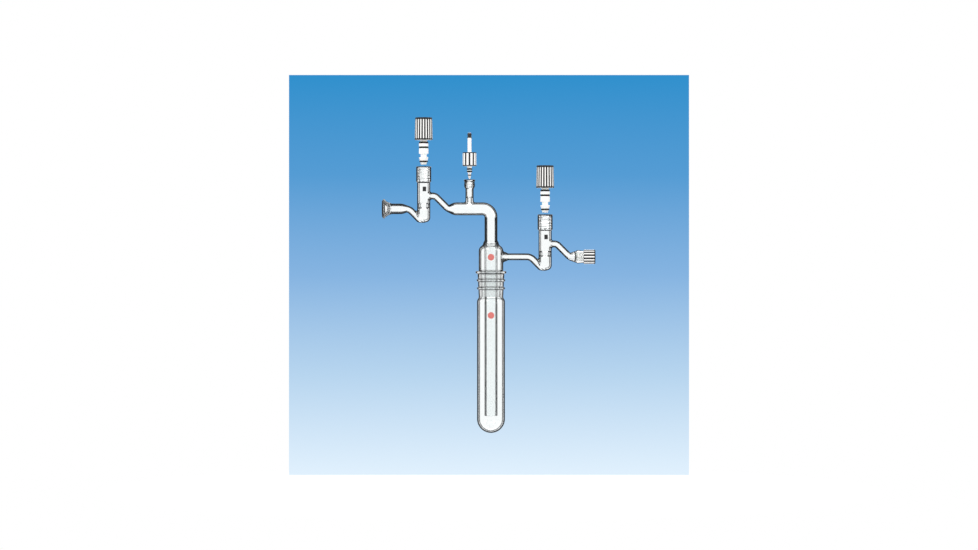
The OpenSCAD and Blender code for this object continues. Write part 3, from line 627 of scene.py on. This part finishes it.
rows, outerRows = knobRows(knob)
first, last = outerRows[0], outerRows[-1]
front = -math.pi / 2
knobs = []
threads = (knob["threadDepth"], knob["pitch"], 1, knob["skirt"] - 1, knob["shankR"])
# the first two and last three outer rows are the grip's bottom and top edges, painted black as shade
for side, x, edge in (("left", leftX, leftEdge), ("right", rightX, rightEdge)):
    knobs.append(ribbed(side + "KnobCap", rows, outerRows, (first, first + 1, last - 3, last - 2, last - 1),
                        knob["ribs"], knob["grooveDepth"], knob["ribShare"], front, side + "_knob", threads,
                        (x, 0, edge)))

ventKnob = {"r": 13, "topR": 13, "height": 26, "ribs": 10, "grooveDepth": 1.3, "ribShare": 0.5,
            "skirtR": 10.85, "skirt": 17.1, "shankR": 5.4, "boreR": 3.45, "clipR": 4.9,
            "threadDepth": 0.6, "pitch": 3}
k = ventKnob
ventRows = [(k["boreR"], k["height"]), (k["boreR"], k["skirt"] + 0.3), (k["clipR"], k["skirt"] + 0.3),
            (k["clipR"], k["skirt"] - 1.5), (k["boreR"], k["skirt"] - 1.5), (k["boreR"], 0),
            (k["shankR"] - 0.3, 0)]
ventRows += [(k["shankR"], z) for z in np.linspace(0.3, k["skirt"], 44)]
ventRows += [(k["skirtR"], k["skirt"]), (k["skirtR"], 0.3), (k["skirtR"] + 0.3, 0)]
first = len(ventRows)
ventRows += [(k["r"] - 0.4, 0), (k["r"], 0.4), (k["r"], 1.8), (k["r"], k["height"] - 1.8),
             (k["r"], k["height"] - 0.8), (k["r"] - 0.25, k["height"] - 0.25), (k["r"] - 0.8, k["height"])]
last = len(ventRows)
ventRows += [(k["r"] - 2.6, k["height"])]
threads = (k["threadDepth"], k["pitch"], 1, k["skirt"] - 1, k["shankR"])
knobs.append(ribbed("ventKnobCap", ventRows, range(first, last),
                    (first, first + 1, last - 4, last - 3, last - 2), k["ribs"], k["grooveDepth"],
                    k["ribShare"], front + math.pi / k["ribs"], "vent_knob", threads, (ventX, 0, ventEdge)))

bushing = {"r": 13.6, "length": 22, "ribs": 14, "grooveDepth": 1.0, "ribShare": 0.42, "boreR": 6.5,
           "shankR": 8.5, "shank": 12, "threadDepth": 0.6, "pitch": 3}
k = bushing
shift = span("outlet_bushing")[0][0]
start = k["shank"] + 0.1
bushRows = [(k["shankR"] - 0.4, 0)] + [(k["shankR"], z) for z in np.linspace(0.4, start, 36)]
first = len(bushRows)
bushRows += [(k["r"] - 0.5, start), (k["r"], start + 0.5), (k["r"], start + k["length"] - 2),
             (k["r"], start + k["length"] - 0.8), (k["r"] - 0.8, start + k["length"])]
last = len(bushRows)
bushRows += [(k["r"] - 3, start + k["length"]), (k["boreR"] + 0.4, start + k["length"]),
             (k["boreR"], start + k["length"] - 0.4), (k["boreR"], 0.3), (k["boreR"] + 0.3, 0)]
threads = (k["threadDepth"], k["pitch"], 0.5, k["shank"] - 1, k["shankR"])
knobs.append(ribbed("outletBushingGrip", bushRows, range(first, last), (last - 3, last - 2, last - 1, last),
                    k["ribs"], k["grooveDepth"], k["ribShare"], front, "outlet_bushing", threads,
                    (shift, 0, lineRight), True))
print("grips:", len(knobs))


def mark(name, width, height, radius, x, z, across, body, corner):
    # a thin patch fired on the front of a tube, following its curve; corner rounds it, up to a disc
    steps, rings, low, top = 48, 6, 0.02, 0.1
    rows = [(share, top) for share in np.linspace(0, 0.97, rings)] + [(1, (low + top) / 2), (1, low)]
    rows += [(share, low) for share in np.linspace(0.97, 0, rings)]
    flat, faces = spin(rows, steps)[:2]
    points = []
    for px, py, lift in flat:
        share, angle = math.hypot(px, py), math.atan2(py, px)
        c, s = math.cos(angle), math.sin(angle)
        dx = (math.copysign(width / 2 - corner, c) + corner * c) * share
        dz = (math.copysign(height / 2 - corner, s) + corner * s) * share
        turn, r = (across + dx) / radius, radius + lift
        points.append((x + r * math.sin(turn), -r * math.cos(turn), z + dz))
    made = meshObject(name, points, [face[::-1] for face in faces], body)
    return made


# plain discs and patches of enamel, with nothing on them
marks = {"headZ": 103.6, "trapZ": -6.6, "disc": 12.5, "patch": (6.8, 8.9), "patchDrop": 43,
         "patchAcross": 1.7, "patchCorner": 0.6}
discs = [mark(body + "Mark", marks["disc"], marks["disc"], radius, 0, z, 0, body, marks["disc"] / 2)
         for body, radius, z in (("head", head["r"], marks["headZ"]), ("trap", trap["r"], marks["trapZ"]))]
patches = [mark(side + "Patch", *marks["patch"], valve["barrelR"], x, mouth - marks["patchDrop"],
                marks["patchAcross"], "head", marks["patchCorner"])
           for side, x, mouth in (("left", leftX, leftMouth), ("right", rightX, rightMouth))]
print("marks:", len(discs + patches))


# drawn borosilicate, flame-worked: clear and colourless; the dark edges where it is seen along its wall are
# painted shade
glassLook = {"colour": "#FCFEFE", "edge": "#10161B", "edgeSpread": 0.07, "ior": 1.473, "roughness": 0.015,
             "bump": 0.02, "leastAcross": 0.2}
blown, tree = newMaterial("borosilicateDrawn")
facing = addNode(tree, "ShaderNodeLayerWeight", {"Blend": 0.5})
paintedOutlineStarts = addNode(tree, "ShaderNodeAttribute", attribute_name="paintedOutlineStart")
# the painted outline keeps its width when a tube leans away from the eye: its tilt is taken out
axis = addNode(tree, "ShaderNodeAttribute", attribute_name="tubeAxis")
lean = addNode(tree, "ShaderNodeLayerWeight", {"Blend": 0.5}, {"Normal": axis.outputs["Vector"]})
lengthwise = addNode(tree, "ShaderNodeMath", {0: 1.0}, {1: lean.outputs["Facing"]}, operation="SUBTRACT")
lengthwise = addNode(tree, "ShaderNodeMath", {1: 2.0}, {0: lengthwise.outputs[0]}, operation="POWER")
across = addNode(tree, "ShaderNodeMath", {0: 1.0}, {1: lengthwise.outputs[0]}, operation="SUBTRACT")
across = addNode(tree, "ShaderNodeMath", links={0: across.outputs[0]}, operation="SQRT")
across = addNode(tree, "ShaderNodeMath", {1: glassLook["leastAcross"]}, {0: across.outputs[0]},
                 operation="MAXIMUM")
ahead = addNode(tree, "ShaderNodeMath", {0: 1.0}, {1: facing.outputs["Facing"]}, operation="SUBTRACT")
ahead = addNode(tree, "ShaderNodeMath", links={0: ahead.outputs[0], 1: across.outputs[0]}, operation="DIVIDE")
turned = addNode(tree, "ShaderNodeMath", {0: 1.0}, {1: ahead.outputs[0]}, operation="SUBTRACT")
past = addNode(tree, "ShaderNodeMath", links={0: turned.outputs[0], 1: paintedOutlineStarts.outputs["Fac"]},
               operation="SUBTRACT")
edge = addNode(tree, "ShaderNodeMapRange",
               {"From Min": -glassLook["edgeSpread"], "From Max": glassLook["edgeSpread"]},
               {"Value": past.outputs["Value"]}, interpolation_type="SMOOTHSTEP")
paintedEdgeTint = addNode(tree, "ShaderNodeMix", {6: linear(glassLook["colour"]), 7: linear(glassLook["edge"])},
               {0: edge.outputs["Result"]}, data_type="RGBA")
place = addNode(tree, "ShaderNodeNewGeometry")
stretch = addNode(tree, "ShaderNodeMapping", {"Scale": (260, 260, 18)}, {"Vector": place.outputs["Position"]})
waves = addNode(tree, "ShaderNodeTexNoise", {"Scale": 1.0, "Detail": 2.0},
                {"Vector": stretch.outputs["Vector"]})
drawn = addNode(tree, "ShaderNodeBump", {"Strength": glassLook["bump"], "Distance": 0.0002},
                {"Height": waves.outputs["Fac"]})
shader = addNode(tree, "ShaderNodeBsdfPrincipled",
                 {"Transmission Weight": 1.0, "IOR": glassLook["ior"], "Roughness": glassLook["roughness"]},
                 {"Base Color": paintedEdgeTint.outputs[2], "Normal": drawn.outputs["Normal"]})
# painted shade: a dark, dull finish mixed in over the outlines
paintedEdgeDark = addNode(tree, "ShaderNodeBsdfPrincipled", {"Base Color": linear(glassLook["edge"]), "Roughness": 0.6,
                                                  "Specular IOR Level": 0.1})
mixed = addNode(tree, "ShaderNodeMixShader", links={0: edge.outputs[0], 1: shader.outputs[0],
                                                    2: paintedEdgeDark.outputs[0]})
addNode(tree, "ShaderNodeOutputMaterial", links={"Surface": mixed.outputs[0]})

# painted shade: lips and melted-on seams are given dark, part-clear glass so that they read as a dark line,
# as the shade at a thick glass edge
paintedRimShadeLook = {"colour": "#0C0F12", "roughness": 0.08}
paintedRimShade, tree = newMaterial("borosilicatePaintedRimShade")
place = addNode(tree, "ShaderNodeNewGeometry")
waves = addNode(tree, "ShaderNodeTexNoise", {"Scale": 400.0, "Detail": 2.0},
                {"Vector": place.outputs["Position"]})
bump = addNode(tree, "ShaderNodeBump", {"Strength": 0.1, "Distance": 0.0001},
               {"Height": waves.outputs["Fac"]})
shader = addNode(tree, "ShaderNodeBsdfPrincipled",
                 {"Base Color": linear(paintedRimShadeLook["colour"]), "Transmission Weight": 0.6,
                  "IOR": glassLook["ior"],
                  "Roughness": paintedRimShadeLook["roughness"]}, {"Normal": bump.outputs["Normal"]})
addNode(tree, "ShaderNodeOutputMaterial", links={"Surface": shader.outputs["BSDF"]})

# ground borosilicate: the taper is cut with fine grit and looks white and matt
groundLook = {"colour": "#FDFEFE", "rough": 0.2, "grit": 0.09}
ground, tree = newMaterial("borosilicateGround")
place = addNode(tree, "ShaderNodeNewGeometry")
grit = addNode(tree, "ShaderNodeTexNoise", {"Scale": 1 / (groundLook["grit"] * 8 * metres), "Detail": 6.0},
               {"Vector": place.outputs["Position"]})
bump = addNode(tree, "ShaderNodeBump", {"Strength": 0.25, "Distance": 0.00005},
               {"Height": grit.outputs["Fac"]})
shader = addNode(tree, "ShaderNodeBsdfPrincipled",
                 {"Base Color": linear(groundLook["colour"]), "Transmission Weight": 1.0,
                  "IOR": glassLook["ior"],
                  "Roughness": groundLook["rough"]}, {"Normal": bump.outputs["Normal"]})
addNode(tree, "ShaderNodeOutputMaterial", links={"Surface": shader.outputs["BSDF"]})


def opaque(name, colour, roughness, grain, depth, variation, ior=1.5, **more):
    # a solid finish whose colour drifts a little and whose surface has a fine grain, in millimetres
    made, tree = newMaterial(name)
    place = addNode(tree, "ShaderNodeNewGeometry")
    clouds = addNode(tree, "ShaderNodeTexNoise", {"Scale": 1 / (9 * metres), "Detail": 3.0},
                     {"Vector": place.outputs["Position"]})
    base = linear(colour)
    deep = [c * (1 - variation) for c in base[:3]] + [1]
    blend = addNode(tree, "ShaderNodeMix", {6: base, 7: deep}, {0: clouds.outputs["Fac"]}, data_type="RGBA")
    fine = addNode(tree, "ShaderNodeTexNoise", {"Scale": 1 / (grain * metres), "Detail": 4.0},
                   {"Vector": place.outputs["Position"]})
    spread = addNode(tree, "ShaderNodeMapRange", {"To Min": roughness - 0.06, "To Max": roughness + 0.06},
                     {"Value": fine.outputs["Fac"]})
    bump = addNode(tree, "ShaderNodeBump", {"Strength": 0.3, "Distance": depth * metres},
                   {"Height": fine.outputs["Fac"]})
    shader = addNode(tree, "ShaderNodeBsdfPrincipled", {"IOR": ior, **more},
                     {"Base Color": blend.outputs[2], "Roughness": spread.outputs["Result"],
                      "Normal": bump.outputs["Normal"]})
    addNode(tree, "ShaderNodeOutputMaterial", links={"Surface": shader.outputs["BSDF"]})
    return made


# turned PTFE: waxy white, soft sheen
ptfe = opaque("ptfeTurned", "#FBFBF9", 0.42, 0.8, 0.02, 0.04, 1.35,
              **{"Subsurface Weight": 0.1, "Subsurface Scale": 0.002})
# moulded acetal for the grips: clean white with a light satin grain
acetal = opaque("acetalMoulded", "#FBFAF7", 0.38, 0.6, 0.02, 0.04, 1.48)
# painted shade: the grooves between the ribs, the grips' end edges and the vent stem's barbs are painted
# black for the shade there
paintedShadeBlack = opaque("acetalPaintedShade", "#0E0F11", 0.5, 0.6, 0.02, 0.2, 1.48)
# moulded fluoroelastomer O-rings: black, dull
rubber = opaque("fluoroelastomerMoulded", "#101113", 0.55, 0.5, 0.02, 0.25, 1.4)
# fired enamel: glossy and even, with soft edges where it melted
enamelRed = opaque("enamelFiredRed", "#D4736C", 0.22, 1.2, 0.01, 0.1, 1.52)
enamelBlack = opaque("enamelFiredBlack", "#0C0D0F", 0.25, 1.2, 0.01, 0.2, 1.52)


def dress(thing, *finishes):
    for finish in finishes:
        thing.data.materials.append(finish)


def faceCentres(mesh):
    centres = np.empty(len(mesh.polygons) * 3)
    mesh.polygons.foreach_get("center", centres)
    return centres.reshape(-1, 3).T / metres


def groundFaces(thing, low, high, inner):
    x, y, z = faceCentres(thing.data)
    cut = (z > low) & (z < high) & (np.hypot(x, y) > inner(z))
    thing.data.polygons.foreach_set("material_index", cut.astype(np.int32))


def paintedRimShadeFaces(thing, shadeBands):
    # painted shade: faces in these shadeBands take the third finish, the dark rim shade; shadeBands are (way,
    # x or height of the axis, least and most radius about it, first and last place along it)
    mesh = thing.data
    x, y, z = faceCentres(mesh)
    index = np.empty(len(mesh.polygons), np.int32)
    mesh.polygons.foreach_get("material_index", index)
    for way, place, least, most, low, high in shadeBands:
        away = np.hypot(x - place, y) if way == "up" else np.hypot(z - place, y)
        along = z if way == "up" else x
        index[(away > least) & (away < most) & (along > low) & (along < high)] = 2
    mesh.polygons.foreach_set("material_index", index)


# widths of the painted dark shade bands at lips and at seams
shadeBandWidths = {"lip": 1.6, "paintedRimShade": 0.9}
lip, line = shadeBandWidths["lip"], shadeBandWidths["paintedRimShade"]
# painted shade: dark bands at the valve lips and collar feet, the vent bell's lip, ledge and foot, and the
# inlet flange
shadeBands = []
for x, mouth in ((leftX, leftMouth), (rightX, rightMouth)):
    foot = mouth - valve["collar"]
    shadeBands += [("up", x, valve["boreR"] + 1, valve["collarR"] + 1, mouth - lip, mouth + 1),
              ("up", x, valve["barrelR"] - 0.5, valve["collarR"] + 1, foot - 2 * line, foot + 0.2)]
shadeBands += [("up", ventX, vent["boreR"] + 1, vent["bellR"] + 1, ventMouth - lip, ventMouth + 1),
          ("up", ventX, vent["boreR"] + 1, vent["bellR"] + 1, ventMouth - 4.4, ventMouth - 3.2),
          ("up", ventX, 6.5, vent["bellR"], ventMouth - 17.4, ventMouth - 16),
          ("level", lineLeft, 8, 20, flangeFace - 1, flangeFace + 1.4),
          ("level", lineLeft, 14.8, 20, flangeFace + inlet["rim"] - 0.8, flangeFace + inlet["rim"] + 0.8),
          ("level", lineLeft, 9.2, 12, coneEnd - 1.4, coneEnd + 0.2)]
groundFaces(trapHead, head["footZ"] + 0.3, jointTop - 0.5, lambda z: 18.9 + (z - trap["jointFoot"]) / 20)
paintedRimShadeFaces(trapHead, shadeBands)
# painted shade: dark bands at the trap's lip, rim foot, shoulder and the edges of its beads
edges = [(jointTop - lip / 2, jointTop + 1), (jointTop - trap["rim"] - line, jointTop - trap["rim"] + line),
         (trap["shoulder"] + 4.6, trap["shoulder"] + 6)]
for r, below in trap["beads"]:
    middle = jointTop - trap["rim"] / 2 - below
    edges += [(middle + side * trap["beadHeight"] / 2 - line, middle + side * trap["beadHeight"] / 2 + line)
              for side in (-1, 1)]
paintedRimShadeFaces(trapTube, [("up", 0, 23.6, 30, low, high) for low, high in edges])
dress(trapHead, blown, ground, paintedRimShade)
dress(trapTube, blown, ground, paintedRimShade)
# each grip's second finish is its painted black shade
for one in knobs:
    dress(one, acetal, paintedShadeBlack)
for group, finish in ((discs, enamelRed), (patches, enamelBlack)):
    for one in group:
        dress(one, finish)
for name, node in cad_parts.items():
    if "oring" in name:
        node.data.materials[0] = rubber
    elif name.endswith(("piston", "clip", "stem", "washer")):
        node.data.materials[0] = ptfe

# painted shade: the barbs of the vent's hose end take the black finish, for the shade between them
barbShadeZone = {"r": 3.7, "barbs": 9.6, "slack": 0.6}
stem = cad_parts["vent_stem"]
stem.data.materials.append(paintedShadeBlack)
barbFoot = (span("vent_stem")[1][2] - barbShadeZone["barbs"]) * metres
for face in stem.data.polygons:
    centre = stem.matrix_world @ face.center
    away = math.hypot(centre.x - ventX * metres, centre.y) / metres
    if centre.z > barbFoot and away > barbShadeZone["r"] - barbShadeZone["slack"]:
        face.material_index = 1
print("materials:", len(bpy.data.materials))

stage = {"centre": (-3.8, 69.9), "viewWidth": 1858.2, "sensor": 36, "boardSide": 760, "boardDepth": 450,
         "camera": 6000, "boardTop": "#3090CD", "boardFoot": "#E1F1FE", "squareOn": 0.012,
         "floorColour": "#F4F6F8", "floorSide": 6000, "floorLift": 0.35, "fadeFrom": 0.45, "fadeTo": 0.75}


def sheetObject(name, corners):
    mesh = bpy.data.meshes.new(name)
    mesh.from_pydata((np.array(corners, float) * metres).tolist(), [], [[0, 1, 2, 3]])
    made = bpy.data.objects.new(name, mesh)
    bpy.context.scene.collection.objects.link(made)
    return made


centreX, centreZ = stage["centre"]
near = stage["camera"] / (stage["camera"] + stage["boardDepth"])
half = stage["boardSide"] / 2 / near
y = stage["boardDepth"]
board = sheetObject("backdrop", [(centreX - half, y, centreZ - half), (centreX + half, y, centreZ - half),
                                 (centreX + half, y, centreZ + half), (centreX - half, y, centreZ + half)])
painted, tree = newMaterial("backdropPaint")
place = addNode(tree, "ShaderNodeNewGeometry")
height = addNode(tree, "ShaderNodeSeparateXYZ", links={"Vector": place.outputs["Position"]})
share = addNode(tree, "ShaderNodeMapRange",
                {"From Min": (centreZ - half) * metres, "From Max": (centreZ + half) * metres},
                {"Value": height.outputs["Z"]})
ramp = addNode(tree, "ShaderNodeValToRGB", links={"Fac": share.outputs["Result"]})
ramp.color_ramp.elements[0].color = linear(stage["boardFoot"])
ramp.color_ramp.elements[1].color = linear(stage["boardTop"])
for at, colour in ((0.25, "#B7D5EF"), (0.5, "#86B4E1"), (0.75, "#559CD4")):
    ramp.color_ramp.elements.new(at).color = linear(colour)
glow = addNode(tree, "ShaderNodeEmission", links={"Color": ramp.outputs["Color"]})
clear = addNode(tree, "ShaderNodeBsdfTransparent")
ray = addNode(tree, "ShaderNodeLightPath")
# the board is there only for an eye straight in front of it
oblique = addNode(tree, "ShaderNodeLayerWeight", {"Blend": 0.5})
squareOn = addNode(tree, "ShaderNodeMath", {1: stage["squareOn"]}, {0: oblique.outputs["Facing"]},
                   operation="LESS_THAN")
ahead = addNode(tree, "ShaderNodeMath", {0: 1.0}, {1: place.outputs["Backfacing"]}, operation="SUBTRACT")
both = addNode(tree, "ShaderNodeMath", links={0: squareOn.outputs[0], 1: ahead.outputs[0]},
               operation="MULTIPLY")
shown = addNode(tree, "ShaderNodeMath", links={0: both.outputs[0], 1: ray.outputs["Is Camera Ray"]},
                operation="MULTIPLY")
mixed = addNode(tree, "ShaderNodeMixShader", links={0: shown.outputs[0], 1: clear.outputs[0],
                                                    2: glow.outputs[0]})
addNode(tree, "ShaderNodeOutputMaterial", links={"Surface": mixed.outputs[0]})
board.data.materials.append(painted)

# the floor meets the board's foot and fades out to the white around it
floorZ, side = centreZ - half, stage["floorSide"] / 2
floor = sheetObject("floor", [(-side, -side, floorZ), (side, -side, floorZ), (side, side, floorZ),
                              (-side, side, floorZ)])
matt, tree = newMaterial("floorPaint")
place = addNode(tree, "ShaderNodeNewGeometry")
clouds = addNode(tree, "ShaderNodeTexNoise", {"Scale": 3.0}, {"Vector": place.outputs["Position"]})
spread = addNode(tree, "ShaderNodeMapRange", {"To Min": 0.65, "To Max": 0.75},
                 {"Value": clouds.outputs["Fac"]})
shader = addNode(tree, "ShaderNodeBsdfPrincipled",
                 {"Base Color": linear(stage["floorColour"]), "Emission Color": (1, 1, 1, 1),
                  "Emission Strength": stage["floorLift"]}, {"Roughness": spread.outputs["Result"]})
flat = addNode(tree, "ShaderNodeVectorMath", {1: (1, 1, 0)}, {0: place.outputs["Position"]},
               operation="MULTIPLY")
away = addNode(tree, "ShaderNodeVectorMath", links={0: flat.outputs[0]}, operation="LENGTH")
fade = addNode(tree, "ShaderNodeMapRange", {"From Min": stage["fadeFrom"], "From Max": stage["fadeTo"]},
               {"Value": away.outputs["Value"]}, interpolation_type="SMOOTHSTEP")
gone = addNode(tree, "ShaderNodeMath", links={0: fade.outputs[0], 1: place.outputs["Backfacing"]},
               operation="MAXIMUM")
clear = addNode(tree, "ShaderNodeBsdfTransparent")
mixed = addNode(tree, "ShaderNodeMixShader", links={0: gone.outputs[0], 1: shader.outputs[0],
                                                    2: clear.outputs[0]})
addNode(tree, "ShaderNodeOutputMaterial", links={"Surface": mixed.outputs[0]})
floor.data.materials.append(matt)

# the world is white to the eye and through glass, and a soft grey to matt surfaces
light = {"fill": 0.74, "white": 1.0, "key": 28, "rim": 12, "keySize": 1.2}
world = bpy.data.worlds.new("studio")
bpy.context.scene.world = world
world.use_nodes = True
tree = world.node_tree
tree.nodes.clear()
ray = addNode(tree, "ShaderNodeLightPath")
seen = addNode(tree, "ShaderNodeMath", links={0: ray.outputs["Is Camera Ray"],
                                              1: ray.outputs["Is Glossy Ray"]},
               operation="MAXIMUM")
seen = addNode(tree, "ShaderNodeMath", links={0: seen.outputs[0], 1: ray.outputs["Is Transmission Ray"]},
               operation="MAXIMUM")
soft = addNode(tree, "ShaderNodeBackground", {"Color": (1, 1, 1, 1), "Strength": light["fill"]})
white = addNode(tree, "ShaderNodeBackground", {"Color": (1, 1, 1, 1), "Strength": light["white"]})
mixed = addNode(tree, "ShaderNodeMixShader", links={0: seen.outputs[0], 1: soft.outputs[0],
                                                    2: white.outputs[0]})
addNode(tree, "ShaderNodeOutputWorld", links={"Surface": mixed.outputs[0]})


def lamp(name, place, power, size):
    made = bpy.data.objects.new(name, bpy.data.lights.new(name, "AREA"))
    made.data.energy, made.data.size = power, size
    made.location = place
    made.rotation_mode = "QUATERNION"
    made.rotation_quaternion = (Vector((0, 0, 0.05)) - Vector(place)).to_track_quat("-Z", "Y")
    bpy.context.scene.collection.objects.link(made)


lamp("key", (-1.3, -1.8, 1.5), light["key"], light["keySize"])
lamp("side", (1.9, -1.1, 0.9), light["rim"], light["keySize"])
lamp("back", (0.4, 2.2, 1.8), light["rim"], light["keySize"])

camera = bpy.data.objects.new("camera", bpy.data.cameras.new("camera"))
bpy.context.scene.collection.objects.link(camera)
camera.location = (centreX * metres, -stage["camera"] * metres, centreZ * metres)
camera.rotation_euler = (math.pi / 2, 0, 0)
camera.data.sensor_width = stage["sensor"]
camera.data.lens = stage["sensor"] * stage["camera"] / stage["viewWidth"]  # in millimetres, as the sensor
camera.data.clip_end = 100
bpy.context.scene.camera = camera
bpy.context.scene.view_settings.view_transform = "Standard"
